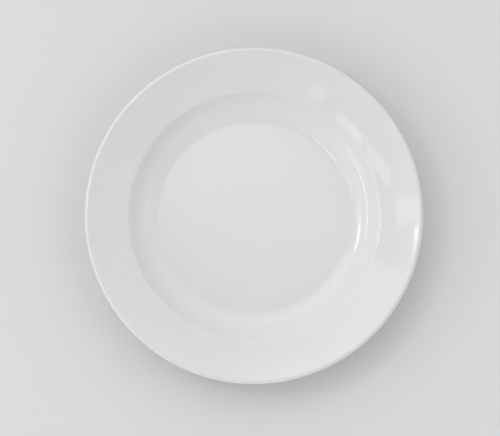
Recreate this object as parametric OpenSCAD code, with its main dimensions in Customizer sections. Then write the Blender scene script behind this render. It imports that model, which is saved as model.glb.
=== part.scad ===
// Rimmed side plate: one fired porcelain body and the glass coat that is melted onto it.
// The coat leaves the foot ring's edge bare, so it falls into two pieces: one over the
// face, lip and back, and one inside the foot ring.
// Lengths are in millimetres, angles in degrees. The plate lies on the plane z = 0,
// with its axis on Z.

/* [Plate] */
// Diameter over the lip
plate_d = 200; // [180:1:240]

/* [Rim] */
// Width of the rim, from the lip to the verge where the well begins
rim_w = 25; // [20:0.5:32]
// Slope of the rim beside the verge
rim_inner_slope = 10.5; // [7:0.5:13]
// Slope of the rim beside the lip
rim_outer_slope = 19.5; // [14:0.5:22]
// Thickness of the rim at the lip
lip_t = 3.2; // [2.8:0.1:4.2]
// Thickness of the rim at the verge
verge_t = 4.2; // [3.6:0.1:5]
// Rounding of the verge
verge_round = 3; // [2:0.25:4]

/* [Well] */
// Depth of the well, from the verge down to the floor
well_depth = 10.2; // [7:0.1:12]
// Width of the well's wall, from the verge in to the crease round the flat floor
wall_w = 17.15; // [15:0.05:20]
// Slope of the well's wall below the verge
wall_slope = 50; // [44:1:54]
// Slope just outside the floor's crease
floor_edge_slope = 7.5; // [4:0.5:10]
// Rounding between the crease's slope and the wall's
well_round = 22; // [12:0.5:24]
// Thickness of the floor
floor_t = 4; // [3:0.1:5]

/* [Foot] */
// Height of the foot ring
foot_h = 2.4; // [2.2:0.1:4]
// Width of the foot ring at the table
foot_w = 3.8; // [3:0.1:6]
// How far the foot ring stands inside the flat floor of a like plate beneath it
stack_gap = 1.2; // [0.5:0.1:4]

/* [Glaze] */
// Thickness of the glass coat
glaze_t = 0.25; // [0.15:0.05:0.4]
// Height of the bare edge of the foot ring, wiped clean of glaze before firing
bare_h = 1.2; // [0.9:0.05:1.25]

/* [Hidden] */

// Segments round the plate, and the largest gap between an arc and its chords
$fn = 180;
chord_gap = 0.01;
// The most of a straight side that the roundings at its two ends may take up
rounded_share = 0.95;

// Roundings that follow from making: the fired lip, the rim's shallow dish, the floor's
// crease, the back of the verge and well, and the foot ring's root, edge and inner corner
lip_round = 0.46 * lip_t;
rim_round = 130;
floor_edge_round = 5;
back_verge_round = 7;
back_well_round = 15;
foot_root_round = 0.9;
foot_edge_round = 0.7;
base_round = 1.1;

// How far the foot ring's outer and inner walls lean, over its height
foot_outer_lean = 0.25 * foot_h;
foot_inner_lean = 0.4 * foot_h;

// The bare body is smaller than the finished plate by the coat's thickness
body_r = plate_d / 2 - glaze_t;
base_z = foot_h;
floor_z = base_z + floor_t;

// Corners of the face, from the lip inwards
knee_r = body_r - rim_w / 2;
verge_r = body_r - rim_w;
verge_z = floor_z + well_depth;
knee_z = verge_z + (knee_r - verge_r) * tan(rim_inner_slope);
lip_top_z = knee_z + (body_r - knee_r) * tan(rim_outer_slope);
floor_r = verge_r - wall_w;
steepening = tan(wall_slope) - tan(floor_edge_slope);
wall_foot_r = floor_r + (wall_w * tan(wall_slope) - well_depth) / steepening;
wall_foot_z = floor_z + (wall_foot_r - floor_r) * tan(floor_edge_slope);
flat_r = floor_r - floor_edge_round * tan(floor_edge_slope / 2);

// Corners of the back, from the lip inwards
lip_under_z = lip_top_z - lip_t / cos(rim_outer_slope);
verge_lean = (wall_slope + rim_inner_slope) / 2;
back_verge = [verge_r + verge_t * sin(verge_lean), verge_z - verge_t * cos(verge_lean)];
back_wall_foot_r = back_verge.x - (back_verge.y - base_z) / tan(wall_slope);

// Corners of the foot ring
foot_outer_r = flat_r - stack_gap;
foot_inner_r = foot_outer_r - foot_w;

// Points on the foot ring's two walls where the coat ends
outer_glaze_end = [foot_outer_r + foot_outer_lean * bare_h / foot_h, bare_h];
base_glaze_end = [foot_inner_r - foot_inner_lean * bare_h / foot_h, bare_h];

// The body's section as three runs of corners, each [radius, height, rounding],
// with the air on the left all the way from the face round to the base
face_and_back = [
    [0, floor_z, 0],
    [floor_r, floor_z, floor_edge_round],
    [wall_foot_r, wall_foot_z, well_round],
    [verge_r, verge_z, verge_round],
    [knee_r, knee_z, rim_round],
    [body_r, lip_top_z, lip_round],
    [body_r, lip_under_z, lip_round],
    [back_verge.x, back_verge.y, back_verge_round],
    [back_wall_foot_r, base_z, back_well_round],
    [foot_outer_r + foot_outer_lean, base_z, foot_root_round],
    [outer_glaze_end.x, outer_glaze_end.y, 0],
];
bare_foot = [
    [outer_glaze_end.x, outer_glaze_end.y, 0],
    [foot_outer_r, 0, foot_edge_round],
    [foot_inner_r, 0, foot_edge_round],
    [base_glaze_end.x, base_glaze_end.y, 0],
];
base = [
    [base_glaze_end.x, base_glaze_end.y, 0],
    [foot_inner_r - foot_inner_lean, base_z, base_round],
    [0, base_z, 0],
];

function unit(angle) = [cos(angle), sin(angle)];
function flat(corner) = [corner.x, corner.y];
function heading(from, to) = atan2(to.y - from.y, to.x - from.x);
function turn(from, to) = ((to - from + 540) % 360) - 180;
function chords(radius, angle) =
    max(1, ceil(abs(angle) / (2 * acos(1 - min(1, chord_gap / radius)))));

// How far a corner's rounding reaches along its two sides; the ends of a run have none
function bend_at(corners, i) =
    turn(heading(corners[i - 1], corners[i]), heading(corners[i], corners[i + 1]));
function reach(corners, i) =
    i == 0 || i == len(corners) - 1 ? 0 : corners[i].z * tan(abs(bend_at(corners, i)) / 2);

// How much of their roundings the two ends of a side can keep, and so what a corner gets
function room_on_side(corners, i) =
    let (
        room = rounded_share * norm(flat(corners[i + 1]) - flat(corners[i])),
        wanted = reach(corners, i) + reach(corners, i + 1)
    )
    wanted > room ? room / wanted : 1;
function fitted_rounding(corners, i) =
    corners[i].z * min(room_on_side(corners, i - 1), room_on_side(corners, i));

// One rounded corner as points [radius, height, angle of the outward normal]
function rounded_corner(corners, i) =
    let (
        rounding = fitted_rounding(corners, i),
        into = heading(corners[i - 1], corners[i]),
        bend = bend_at(corners, i),
        side = bend > 0 ? -1 : 1,
        middle = into + 90 + bend / 2,
        centre = flat(corners[i]) - side * rounding / cos(bend / 2) * unit(middle),
        steps = chords(rounding, bend)
    )
    [for (step = [0 : steps])
        let (
            normal = into + 90 + bend * step / steps,
            point = centre + side * rounding * unit(normal)
        )
        [point.x, point.y, normal]];

// A run of corners as one smooth line, each point with its outward normal
function smooth_line(corners) =
    let (last = len(corners) - 1)
    concat(
        [[corners[0].x, corners[0].y, heading(corners[0], corners[1]) + 90]],
        [for (i = [1 : last - 1]) each rounded_corner(corners, i)],
        [[corners[last].x, corners[last].y, heading(corners[last - 1], corners[last]) + 90]]
    );

// The line's own points, or those of a surface that lies proud of it
function points_on(line, proud = 0) = [for (p = line) flat(p) + proud * unit(p.z)];
function backwards(list) = [for (i = [len(list) - 1 : -1 : 0]) list[i]];

// Section of a coat on a line: out along the body's surface and back along the coat's own
function coat(line) = concat(points_on(line), backwards(points_on(line, glaze_t)));

// The fired clay: rim, well and foot ring are one piece, pressed and fettled in one go
module porcelain_body() {
    color("#e9e3d8")
        rotate_extrude()
            polygon(concat(
                points_on(smooth_line(face_and_back)),
                points_on(smooth_line(bare_foot)),
                points_on(smooth_line(base))
            ));
}

// The coat over the face, round the lip and down the back to the foot ring's bare edge
module outer_glaze() {
    color("#e8e8e7")
        rotate_extrude()
            polygon(coat(smooth_line(face_and_back)));
}

// The coat inside the foot ring
module base_glaze() {
    color("#e8e8e7")
        rotate_extrude()
            polygon(coat(smooth_line(base)));
}

porcelain_body();
outer_glaze();
base_glaze();
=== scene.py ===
import math

import bmesh
import bpy
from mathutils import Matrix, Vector, noise


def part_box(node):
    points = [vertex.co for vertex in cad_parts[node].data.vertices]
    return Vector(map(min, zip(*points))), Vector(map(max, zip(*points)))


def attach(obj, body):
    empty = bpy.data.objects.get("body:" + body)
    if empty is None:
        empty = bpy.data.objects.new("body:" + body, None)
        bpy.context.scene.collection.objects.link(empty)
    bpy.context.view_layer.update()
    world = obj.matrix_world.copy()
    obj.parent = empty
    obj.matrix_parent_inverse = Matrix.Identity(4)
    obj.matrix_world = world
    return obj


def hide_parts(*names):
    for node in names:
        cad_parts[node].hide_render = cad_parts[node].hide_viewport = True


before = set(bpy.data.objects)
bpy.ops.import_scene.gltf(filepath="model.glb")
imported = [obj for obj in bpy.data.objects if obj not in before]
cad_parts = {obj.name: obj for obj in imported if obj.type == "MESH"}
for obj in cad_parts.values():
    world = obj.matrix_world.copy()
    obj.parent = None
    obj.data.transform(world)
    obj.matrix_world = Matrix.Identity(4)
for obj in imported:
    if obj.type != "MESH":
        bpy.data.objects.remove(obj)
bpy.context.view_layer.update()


# Camera. It hangs high over the plate, a few degrees off the plate's axis towards the front,
# with a long lens, so that the lip shows as a near circle and the well sits low in it.
mm = 0.001
coat_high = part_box("outer_glaze")[1]
plate_radius = coat_high.x
lip_crown = 1.7 * mm
lip_height = coat_high.z - lip_crown
photo_width_px = 500
photo_height_px = 436
plate_centre_px = (253.86, 214.85)
plate_radius_px = 169.1
camera_tilt = math.radians(6)
camera_distance = 1.6
film_width = 36

metres_per_px = plate_radius / plate_radius_px
camera_data = bpy.data.cameras.new("camera")
camera_data.sensor_width = film_width
camera_data.lens = film_width * camera_distance / (photo_width_px * metres_per_px)
camera = bpy.data.objects.new("camera", camera_data)
bpy.context.scene.collection.objects.link(camera)
camera_up = Vector((0, math.cos(camera_tilt), math.sin(camera_tilt)))
camera_back = Vector((0, -math.sin(camera_tilt), math.cos(camera_tilt)))
aside = (photo_width_px / 2 - plate_centre_px[0]) * metres_per_px
above = (plate_centre_px[1] - photo_height_px / 2) * metres_per_px
camera.location = (
    Vector((aside, 0, lip_height)) + above * camera_up + camera_distance * camera_back
)
camera.rotation_euler = (camera_tilt, 0, 0)
bpy.context.scene.camera = camera


# Porcelain body. White clay, pressed in one piece on a turning mould and fired hard: floor, well
# wall, rim, lip and foot ring. Only the foot ring's standing edge is left without glaze.
body_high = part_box("porcelain_body")[1]
base_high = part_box("base_glaze")[1]
body_radius = body_high.x
foot_height = base_high.z
floor_thickness = 4 * mm
rim_width = 25 * mm
rim_inner_slope = math.radians(10.5)
rim_outer_slope = math.radians(19.5)
rim_dish_round = 130 * mm
lip_thickness = 3.2 * mm
lip_round = 0.46 * lip_thickness
verge_thickness = 4.2 * mm
verge_round = 3 * mm
verge_back_round = 7 * mm
well_depth = 10.2 * mm
wall_width = 17.15 * mm
wall_slope = math.radians(50)
well_round = 22 * mm
well_back_round = 15 * mm
floor_edge_slope = math.radians(7.5)
floor_edge_round = 5 * mm
foot_width = 3.8 * mm
foot_inset = 1.2 * mm
foot_outer_lean = 0.25
foot_inner_lean = 0.4
foot_root_round = 0.9 * mm
foot_edge_round = 0.7 * mm
foot_corner_round = 1.1 * mm
bare_edge = 1.2 * mm

floor_z = foot_height + floor_thickness
verge_r = body_radius - rim_width
verge_z = floor_z + well_depth
knee_r = body_radius - rim_width / 2
knee_z = verge_z + rim_width / 2 * math.tan(rim_inner_slope)
lip_z = knee_z + rim_width / 2 * math.tan(rim_outer_slope)
lip_under_z = lip_z - lip_thickness / math.cos(rim_outer_slope)
floor_radius = verge_r - wall_width
steepening = math.tan(wall_slope) - math.tan(floor_edge_slope)
wall_foot_r = floor_radius + (wall_width * math.tan(wall_slope) - well_depth) / steepening
wall_foot_z = floor_z + (wall_foot_r - floor_radius) * math.tan(floor_edge_slope)
flat_floor_r = floor_radius - floor_edge_round * math.tan(floor_edge_slope / 2)
verge_lean = (wall_slope + rim_inner_slope) / 2
verge_back_r = verge_r + verge_thickness * math.sin(verge_lean)
verge_back_z = verge_z - verge_thickness * math.cos(verge_lean)
wall_back_foot_r = verge_back_r - (verge_back_z - foot_height) / math.tan(wall_slope)
foot_outer_r = flat_floor_r - foot_inset
foot_inner_r = foot_outer_r - foot_width
bare_outer_r = foot_outer_r + foot_outer_lean * bare_edge
bare_inner_r = foot_inner_r - foot_inner_lean * bare_edge

# The section's corners, each radius, height and rounding, from the floor round to the base
body_section = [
    (0, floor_z, 0),
    (floor_radius, floor_z, floor_edge_round),
    (wall_foot_r, wall_foot_z, well_round),
    (verge_r, verge_z, verge_round),
    (knee_r, knee_z, rim_dish_round),
    (body_radius, lip_z, lip_round),
    (body_radius, lip_under_z, lip_round),
    (verge_back_r, verge_back_z, verge_back_round),
    (wall_back_foot_r, foot_height, well_back_round),
    (foot_outer_r + foot_outer_lean * foot_height, foot_height, foot_root_round),
    (bare_outer_r, bare_edge, 0),
    (foot_outer_r, 0, foot_edge_round),
    (foot_inner_r, 0, foot_edge_round),
    (bare_inner_r, bare_edge, 0),
    (foot_inner_r - foot_inner_lean * foot_height, foot_height, foot_corner_round),
    (0, foot_height, 0),
]
ring_gap = 2.5 * mm
arc_step = math.radians(3)
turn_steps = 256
merge_distance = 0.001 * mm
across = Vector((0, 1, 0))


def draw_straight(shape, pen, end):
    steps = max(1, round((end - pen.co).length / ring_gap))
    stride = (end - pen.co) / steps
    drawn = bmesh.ops.spin(
        shape, geom=[pen], cent=pen.co, axis=across, dvec=stride, angle=0, steps=steps
    )
    return drawn["geom_last"][0]


def draw_section(shape, section):
    corners = [Vector((radius, 0, height)) for radius, height, rounding in section]
    roundings = [rounding for radius, height, rounding in section]
    pen = shape.verts.new(corners[0])
    for before, corner, after, rounding in zip(corners, corners[1:], corners[2:], roundings[1:]):
        into = (corner - before).normalized()
        onward = (after - corner).normalized()
        bend = math.atan2(into.cross(onward).y, into.dot(onward))
        pen = draw_straight(shape, pen, corner - rounding * math.tan(abs(bend) / 2) * into)
        if rounding > 0:
            centre = pen.co - math.copysign(rounding, bend) * into.cross(across)
            steps = math.ceil(abs(bend) / arc_step)
            drawn = bmesh.ops.spin(
                shape, geom=[pen], cent=centre, axis=across, dvec=(0, 0, 0), angle=bend, steps=steps
            )
            pen = drawn["geom_last"][0]
    draw_straight(shape, pen, corners[-1])


def piece_from(shape, name):
    mesh = bpy.data.meshes.new(name)
    shape.to_mesh(mesh)
    mesh.shade_smooth()
    piece = bpy.data.objects.new(name, mesh)
    bpy.context.scene.collection.objects.link(piece)
    return piece


body_shape = bmesh.new()
draw_section(body_shape, body_section)
bmesh.ops.spin(
    body_shape,
    geom=body_shape.verts[:] + body_shape.edges[:],
    cent=(0, 0, 0),
    axis=(0, 0, 1),
    dvec=(0, 0, 0),
    angle=math.tau,
    steps=turn_steps,
    use_merge=True,
)
bmesh.ops.remove_doubles(body_shape, verts=body_shape.verts[:], dist=merge_distance)

# Firing pulls the rim a little out of true, lets the floor sag and leaves soft dents, fainter in
# the well than on the rim. The foot's standing edge is ground flat afterwards.
rim_warp = 0.15 * mm
warp_bearing = 0.8
floor_sag = 0.08 * mm
dent_depth = 0.04 * mm
dent_size = 24 * mm
dent_share_in_well = 0.2
for corner in body_shape.verts:
    radius = corner.co.xy.length
    outward = max(0, (radius - foot_outer_r) / (body_radius - foot_outer_r))
    inward = max(0, 1 - radius / foot_inner_r)
    bearing = math.atan2(corner.co.y, corner.co.x)
    lift = rim_warp * outward**2 * math.cos(2 * bearing + warp_bearing)
    lift -= floor_sag * inward * (2 - inward)
    lift += dent_depth * (outward + dent_share_in_well) * noise.noise(corner.co / dent_size)
    corner.co.z += lift * min(1, corner.co.z / foot_height)
bmesh.ops.recalc_face_normals(body_shape, faces=body_shape.faces[:])
fired_body = piece_from(body_shape, "fired_body")


# One shader node, with each input set to a value or linked to another node
def add_node(tree, kind, inputs, **settings):
    made = tree.nodes.new("ShaderNode" + kind)
    for setting, value in settings.items():
        setattr(made, setting, value)
    for socket, value in inputs.items():
        if isinstance(value, bpy.types.NodeSocket):
            tree.links.new(value, made.inputs[socket])
        else:
            made.inputs[socket].default_value = value
    return made


def reckon(tree, operation, *values):
    return add_node(tree, "Math", dict(enumerate(values)), operation=operation).outputs[0]


def times(tree, first, second):
    return reckon(tree, "MULTIPLY", first, second)


# A level that changes smoothly while a value goes from start to end
def ease(tree, value, start, end, at_start=0, at_end=1):
    inputs = {
        "Value": value,
        "From Min": start,
        "From Max": end,
        "To Min": at_start,
        "To Max": at_end,
    }
    return add_node(tree, "MapRange", inputs, interpolation_type="SMOOTHSTEP").outputs["Result"]


# A mix's colour sockets go by number, since its other sockets have the same names
mix_share = 0
mix_first = 6
mix_second = 7
mix_result = 2


def blend(tree, share, first, second):
    inputs = {mix_share: share, mix_first: first, mix_second: second}
    return add_node(tree, "Mix", inputs, data_type="RGBA").outputs[mix_result]


def distance_from_axis(tree, place):
    flat = add_node(tree, "VectorMath", {0: place, 1: (1, 1, 0)}, operation="MULTIPLY")
    length = add_node(tree, "VectorMath", {0: flat.outputs["Vector"]}, operation="LENGTH")
    return length.outputs["Value"]


def new_group(name, size_name, result_name):
    group = bpy.data.node_groups.new(name, "ShaderNodeTree")
    group.interface.new_socket("Place", in_out="INPUT", socket_type="NodeSocketVector")
    group.interface.new_socket(size_name, in_out="INPUT", socket_type="NodeSocketFloat")
    group.interface.new_socket(result_name, in_out="OUTPUT", socket_type="NodeSocketFloat")
    inputs = group.nodes.new("NodeGroupInput").outputs
    outputs = group.nodes.new("NodeGroupOutput").inputs
    return group, inputs, outputs


# Cloudy unevenness, with patches of about the given size
uneven_tone, given, result = new_group("uneven_tone", "Size", "Tone")
clouds = add_node(
    uneven_tone,
    "TexNoise",
    {
        "Vector": given["Place"],
        "Scale": reckon(uneven_tone, "DIVIDE", 1, given["Size"]),
        "Detail": 2,
        "Roughness": 0.5,
    },
)
uneven_tone.links.new(clouds.outputs["Fac"], result["Tone"])

# Rings left by a tool held against the turning plate, broken here and there
breaks_per_metre = 90
turning_marks, given, result = new_group("turning_marks", "Gap", "Marks")
ring_number = reckon(
    turning_marks, "DIVIDE", distance_from_axis(turning_marks, given["Place"]), given["Gap"]
)
rings = add_node(
    turning_marks, "TexNoise", {"W": ring_number, "Scale": 1, "Detail": 2}, noise_dimensions="1D"
)
breaks = add_node(
    turning_marks, "TexNoise", {"Vector": given["Place"], "Scale": breaks_per_metre, "Detail": 1}
)
marks = times(
    turning_marks,
    ease(turning_marks, rings.outputs["Fac"], 0.45, 0.7),
    ease(turning_marks, breaks.outputs["Fac"], 0.4, 0.6, 0.25, 1),
)
turning_marks.links.new(marks, result["Marks"])


def tone_at(tree, place, size):
    return add_node(tree, "Group", {"Place": place, "Size": size}, node_tree=uneven_tone).outputs["Tone"]


def marks_at(tree, place, gap):
    return add_node(tree, "Group", {"Place": place, "Gap": gap}, node_tree=turning_marks).outputs["Marks"]


# The range that most of the uneven tone lies in, spread out between two levels
tone_low = 0.3
tone_high = 0.7


def clouded(tree, place, size, low=0, high=1):
    return ease(tree, tone_at(tree, place, size), tone_low, tone_high, low, high)


# Warm off-white and matt, fine-grained, with grinding rings and grey rubbing from tables
clay_dark = (0.7, 0.655, 0.59, 1)
clay_pale = (0.755, 0.72, 0.665, 1)
grain_brown = (0.6, 0.55, 0.48, 1)
grinding_grey = (0.58, 0.55, 0.5, 1)
rubbed_grey = (0.47, 0.46, 0.45, 1)
grain_size = 0.35 * mm
grinding_gap = 0.22 * mm
rubbing_gap = 0.9 * mm
clay_relief_depth = 0.03 * mm
bare_porcelain = bpy.data.materials.new("bare_porcelain")
bare_porcelain.use_nodes = True
bare = bare_porcelain.node_tree
bare_place = add_node(bare, "TexCoord", {}).outputs["Object"]
bare_height = add_node(bare, "SeparateXYZ", {"Vector": bare_place}).outputs["Z"]
grain = tone_at(bare, bare_place, grain_size)
grinding = marks_at(bare, bare_place, grinding_gap)
near_table = ease(bare, bare_height, 0.35 * mm, 0.05 * mm, 0, 0.5)
rubbing = times(bare, marks_at(bare, bare_place, rubbing_gap), clouded(bare, bare_place, 18 * mm))
bare_tone = blend(bare, clouded(bare, bare_place, 5 * mm), clay_dark, clay_pale)
bare_tone = blend(bare, ease(bare, grain, 0.5, 0.75, 0, 0.35), bare_tone, grain_brown)
bare_tone = blend(bare, times(bare, grinding, 0.25), bare_tone, grinding_grey)
bare_tone = blend(bare, times(bare, near_table, rubbing), bare_tone, rubbed_grey)
bare_roughness = ease(bare, grain, tone_low, tone_high, 0.62, 0.82)
bare_relief = add_node(
    bare,
    "Bump",
    {"Distance": clay_relief_depth, "Height": reckon(bare, "SUBTRACT", grain, grinding)},
)
bare_shader = bare.nodes["Principled BSDF"]
bare.links.new(bare_tone, bare_shader.inputs["Base Color"])
bare.links.new(bare_roughness, bare_shader.inputs["Roughness"])
bare.links.new(bare_relief.outputs["Normal"], bare_shader.inputs["Normal"])
fired_body.data.materials.append(bare_porcelain)
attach(fired_body, "root")
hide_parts("porcelain_body")


# Glaze over the face and back. A thin coat of white glass, dipped on and melted over everything
# above the foot ring's edge, where it ends in a rounded bead.
glaze_thickness = coat_high.x - body_high.x
bead_round = 0.7 * glaze_thickness
off_the_clay = 0.6 * glaze_thickness
sharp_bend = 1
slack = 0.01 * mm


def is_bare(face):
    return all(corner.co.z < bare_edge + slack for corner in face.verts)


def is_inside_foot(face):
    middle = face.calc_center_median()
    return middle.z < foot_height + slack and middle.xy.length < foot_inner_r


# The coat's outer corner where it stops on the foot ring
def is_end(edge):
    on_foot = all(corner.co.z < bare_edge + glaze_thickness for corner in edge.verts)
    gap_to_clay = min(
        abs(corner.co.xy.length - end_r)
        for corner in edge.verts
        for end_r in (bare_outer_r, bare_inner_r)
    )
    return on_foot and gap_to_clay > off_the_clay and edge.calc_face_angle(0) > sharp_bend


def coat_shape(uncovered):
    shape = body_shape.copy()
    bmesh.ops.delete(shape, geom=[face for face in shape.faces if uncovered(face)], context="FACES")
    bmesh.ops.solidify(shape, geom=shape.faces[:], thickness=-glaze_thickness)
    bmesh.ops.bevel(
        shape,
        geom=[edge for edge in shape.edges if is_end(edge)],
        offset=bead_round,
        segments=3,
        profile=0.5,
        affect="EDGES",
        material=-1,
    )
    return shape


glaze_over_plate = piece_from(
    coat_shape(lambda face: is_bare(face) or is_inside_foot(face)), "glaze_over_plate"
)

# White gloss. The glass lies deeper in the well and the hollows and is painted whiter there; in the well
# this is also painted light, the glow of light bounced round the hollow. It is thinner and duller over the
# lip, has a few specks, and is finely scratched by cutlery in the well.
glaze_dark = (0.786, 0.784, 0.783, 1)
glaze_pale = (0.797, 0.795, 0.794, 1)
# Painted reflection: the well's floor is tinted lighter and warmer, in place of warm light reflected there
floor_painted_warm_light = (0.834, 0.822, 0.806, 1)
# Whiter where the glaze pools, and in the well's hollow also painted light bounced round the hollow
pooled_glaze_and_painted_light = (0.835, 0.831, 0.826, 1)
thin_grey = (0.775, 0.762, 0.745, 1)
speck_brown = (0.45, 0.37, 0.29, 1)
white_glaze = bpy.data.materials.new("white_glaze")
white_glaze.use_nodes = True
glaze = white_glaze.node_tree
glaze_place = add_node(glaze, "TexCoord", {}).outputs["Object"]
glaze_height = add_node(glaze, "SeparateXYZ", {"Vector": glaze_place}).outputs["Z"]
glaze_radius = distance_from_axis(glaze, glaze_place)
on_face = ease(glaze, glaze_height, foot_height + 1.5 * mm, foot_height + 3 * mm)
on_floor = times(glaze, ease(glaze, glaze_radius, floor_radius + 4.5 * mm, floor_radius), on_face)
past_crease = ease(glaze, glaze_radius, floor_radius - 1.5 * mm, floor_radius + 3 * mm)
below_wall = ease(glaze, glaze_radius, floor_radius + 13.5 * mm, floor_radius + 4 * mm)
well_hollow = times(glaze, times(glaze, past_crease, below_wall), on_face)
past_foot = reckon(glaze, "SUBTRACT", glaze_radius, (foot_inner_r + foot_outer_r) / 2)
foot_hollow = times(
    glaze,
    ease(glaze, reckon(glaze, "ABSOLUTE", past_foot), 6 * mm, 0),
    ease(glaze, glaze_height, foot_height + 0.8 * mm, foot_height - 0.4 * mm),
)
# where the glaze pools, which in the well is also where light is painted in
pooled_and_painted_light = reckon(glaze, "MAXIMUM", well_hollow, foot_hollow)
over_lip = ease(glaze, glaze_radius, plate_radius - 1.8 * mm, plate_radius - 0.2 * mm)

# A speck may lie in any cell of a loose grid, and most cells have none
speck_gap = 11 * mm
cells_without_speck = 0.94
speck_cells = add_node(
    glaze, "TexVoronoi", {"Vector": glaze_place, "Scale": 1 / speck_gap}, voronoi_dimensions="2D"
)
speck_draw = add_node(glaze, "SeparateColor", {"Color": speck_cells.outputs["Color"]}).outputs["Red"]
specks = times(
    glaze,
    ease(glaze, speck_cells.outputs["Distance"], 0.018, 0.009, 0, 0.7),
    reckon(glaze, "GREATER_THAN", speck_draw, cells_without_speck),
)
glaze_tone = blend(glaze, clouded(glaze, glaze_place, 26 * mm), glaze_dark, glaze_pale)
# painted warm reflection over the well's floor
glaze_tone = blend(glaze, times(glaze, on_floor, 0.4), glaze_tone, floor_painted_warm_light)
# pooled glaze painted whiter, in the well's hollow also painted light
glaze_tone = blend(glaze, times(glaze, pooled_and_painted_light, 0.9), glaze_tone, pooled_glaze_and_painted_light)
glaze_tone = blend(glaze, times(glaze, over_lip, 0.3), glaze_tone, thin_grey)
glaze_tone = blend(glaze, specks, glaze_tone, speck_brown)

# Hairline scratches, short and nearly straight, in three directions
scratch_width = 0.12 * mm
scratch_length = 14 * mm
scratch_bearings = (0.3, 1.5, 2.5)
scratch_roughness = 0.12
scratched = 0
for bearing in scratch_bearings:
    turned = add_node(
        glaze, "VectorRotate", {"Vector": glaze_place, "Angle": bearing}, rotation_type="Z_AXIS"
    )
    stretched = add_node(
        glaze,
        "VectorMath",
        {0: turned.outputs["Vector"], 1: (1 / scratch_length, 1 / scratch_width, 0)},
        operation="MULTIPLY",
    )
    streaks = add_node(glaze, "TexNoise", {"Vector": stretched.outputs["Vector"], "Scale": 1, "Detail": 0})
    scratched = reckon(glaze, "ADD", scratched, ease(glaze, streaks.outputs["Fac"], 0.74, 0.82))
in_well = times(glaze, ease(glaze, glaze_radius, wall_foot_r, flat_floor_r - 8 * mm), on_face)
hairlines = times(glaze, scratched, in_well)
glaze_roughness = reckon(
    glaze,
    "MULTIPLY_ADD",
    hairlines,
    scratch_roughness,
    clouded(glaze, glaze_place, 15 * mm, 0.045, 0.075),
)

# Faint ripples where the glass ran, with a trace of the turning marks under it
glaze_relief_depth = 0.002 * mm
marks_under_glaze = 0.06
ripple = tone_at(glaze, glaze_place, 5 * mm)
glaze_surface = reckon(
    glaze, "MULTIPLY_ADD", marks_at(glaze, glaze_place, 3 * mm), marks_under_glaze, ripple
)
glaze_relief = add_node(glaze, "Bump", {"Distance": glaze_relief_depth, "Height": glaze_surface})
glaze_shader = glaze.nodes["Principled BSDF"]
glaze.links.new(glaze_tone, glaze_shader.inputs["Base Color"])
glaze.links.new(glaze_roughness, glaze_shader.inputs["Roughness"])
glaze.links.new(glaze_relief.outputs["Normal"], glaze_shader.inputs["Normal"])
glaze_over_plate.data.materials.append(white_glaze)
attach(glaze_over_plate, "root")
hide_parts("outer_glaze")


# Glaze inside the foot ring. The same white glass in a coat of its own, dipped on with the rest
# and cut off from it by the ring's bare edge.
glaze_inside_foot = piece_from(
    coat_shape(lambda face: is_bare(face) or not is_inside_foot(face)), "glaze_inside_foot"
)
glaze_inside_foot.data.materials.append(white_glaze)
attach(glaze_inside_foot, "root")
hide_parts("base_glaze")


# Studio. A plain pale floor, a pale room with a bright ceiling over the back and the left, and
# windows on the left and the right.
studio_radius = 6
floor_mesh = bpy.data.meshes.new("floor")
floor_shape = bmesh.new()
bmesh.ops.create_circle(floor_shape, cap_ends=True, radius=studio_radius, segments=96)
floor_shape.to_mesh(floor_mesh)
floor = bpy.data.objects.new("floor", floor_mesh)
bpy.context.scene.collection.objects.link(floor)
floor_paint = bpy.data.materials.new("floor_paint")
floor_paint.use_nodes = True
floor_shader = floor_paint.node_tree.nodes["Principled BSDF"]
floor_shader.inputs["Base Color"].default_value = (0.78, 0.78, 0.78, 1)
floor_shader.inputs["Roughness"].default_value = 0.9
floor_mesh.materials.append(floor_paint)

# The room's light by direction, x to the right and z upwards. The walls are darker low on the right.
# The ceiling's near edge runs askew just behind the zenith and bends back on the far left. It is soft
# where it is close above the plate, and the ceiling is brightest there.
cool_white = (0.985, 0.995, 1, 1)
warm_white = (1, 0.985, 0.955, 1)
world = bpy.data.worlds.new("studio")
world.use_nodes = True
room = world.node_tree
looking = add_node(room, "TexCoord", {}).outputs["Generated"]
looking_along = add_node(room, "SeparateXYZ", {"Vector": looking}).outputs
looking_x = looking_along["X"]
looking_z = looking_along["Z"]


def add_up(tree, *lights):
    total = 0
    for light in lights:
        total = reckon(tree, "ADD", total, light)
    return total


upper_walls = ease(room, looking_z, 0.92, 0.72, 0.03, 0.83)
lower_walls = ease(room, looking_z, 0.6, 0.45, 0, 0.26)
low_right = times(room, ease(room, looking_z, 0.45, 0.15), ease(room, looking_x, 0.2, 1, 0, -0.49))
walls = add_up(room, upper_walls, lower_walls, low_right)

edge_direction = (0.345, 0.933, -0.107)
past_line = add_node(room, "VectorMath", {0: looking, 1: edge_direction}, operation="DOT_PRODUCT")
edge_bend = ease(room, looking_x, -0.32, -0.5, 0, -0.03)
past_edge = reckon(room, "ADD", past_line.outputs["Value"], edge_bend)
edge_softness = ease(room, reckon(room, "ABSOLUTE", looking_x), 0.08, 0.25, 0.045, 0.008)
on_ceiling = ease(room, reckon(room, "DIVIDE", past_edge, edge_softness), -1, 1)
off_ceiling = reckon(room, "SUBTRACT", 1, on_ceiling)
ceiling_all_over = times(
    room, ease(room, looking_x, -0.2, 0.15, 1.06, 0.49), ease(room, looking_x, 0.62, 0.45)
)
ceiling_middle = times(
    room, ease(room, looking_z, 0.954, 0.993), ease(room, looking_x, 0.06, -0.06, 0, 2.73)
)
ceiling_left = times(
    room, ease(room, looking_z, 0.8, 0.9), ease(room, looking_x, -0.1, -0.3, 0, 0.45)
)
ceiling = add_up(room, ceiling_all_over, ceiling_middle, ceiling_left)
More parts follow.
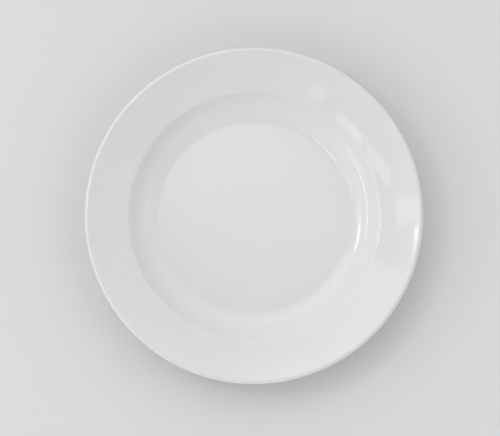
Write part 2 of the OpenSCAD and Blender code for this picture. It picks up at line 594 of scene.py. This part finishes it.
left_of_edge = ease(room, looking_x, 0, -0.9, 0, 0.58)
overhead_light = add_up(
    room, times(room, on_ceiling, ceiling), times(room, off_ceiling, left_of_edge)
)
overhead = ease(room, looking_z, 0.62, 0.76)
room_light = reckon(room, "MULTIPLY_ADD", overhead, overhead_light, walls)
room_tint = blend(room, ease(room, looking_x, -0.6, 0.6), cool_white, warm_white)
background = room.nodes["Background"]
room.links.new(room_tint, background.inputs["Color"])
room.links.new(room_light, background.inputs["Strength"])
bpy.context.scene.world = world

# Daylight: a window, its paler foot and a narrow sill high on the left, two small windows towards
# the front, a wide pale one on the right, and two strips along the left wall
daylight = (0.92, 0.97, 1)
window_height = 1.5
left_wall = -1.5
facing_right = (0, math.radians(-90), 0)


def facing_down(turn=0):
    return (0, 0, math.radians(turn))


def hang_lamp(name, centre, size, facing, radiance):
    lamp = bpy.data.lights.new(name, "AREA")
    lamp.shape = "RECTANGLE"
    lamp.size, lamp.size_y = size
    lamp.color = daylight
    lamp.energy = radiance * math.pi * lamp.size * lamp.size_y
    light = bpy.data.objects.new(name, lamp)
    light.location = centre
    light.rotation_euler = facing
    light.visible_camera = False
    bpy.context.scene.collection.objects.link(light)


hang_lamp("window", (-1.06, 0.39, window_height), (0.29, 0.33), facing_down(14), 6)
hang_lamp("window_foot", (-0.89, 0.16, window_height), (0.58, 0.13), facing_down(), 1.5)
hang_lamp("window_sill", (-0.48, -0.019, window_height), (0.18, 0.1), facing_down(-28), 1.7)
hang_lamp("small_window", (-0.3, -0.11, window_height), (0.17, 0.13), facing_down(42), 2.2)
hang_lamp("front_window", (-0.25, -0.32, window_height), (0.15, 0.07), facing_down(62), 1.2)
hang_lamp("right_window", (1.25, 0, window_height), (0.5, 0.7), facing_down(), 0.6)
hang_lamp("wall_strip", (left_wall, -0.2, 0.81), (0.05, 1.4), facing_right, 10)
hang_lamp("low_wall_strip", (left_wall, -0.95, 0.46), (0.04, 1.1), facing_right, 5)
bpy.context.scene.view_settings.view_transform = "Standard"
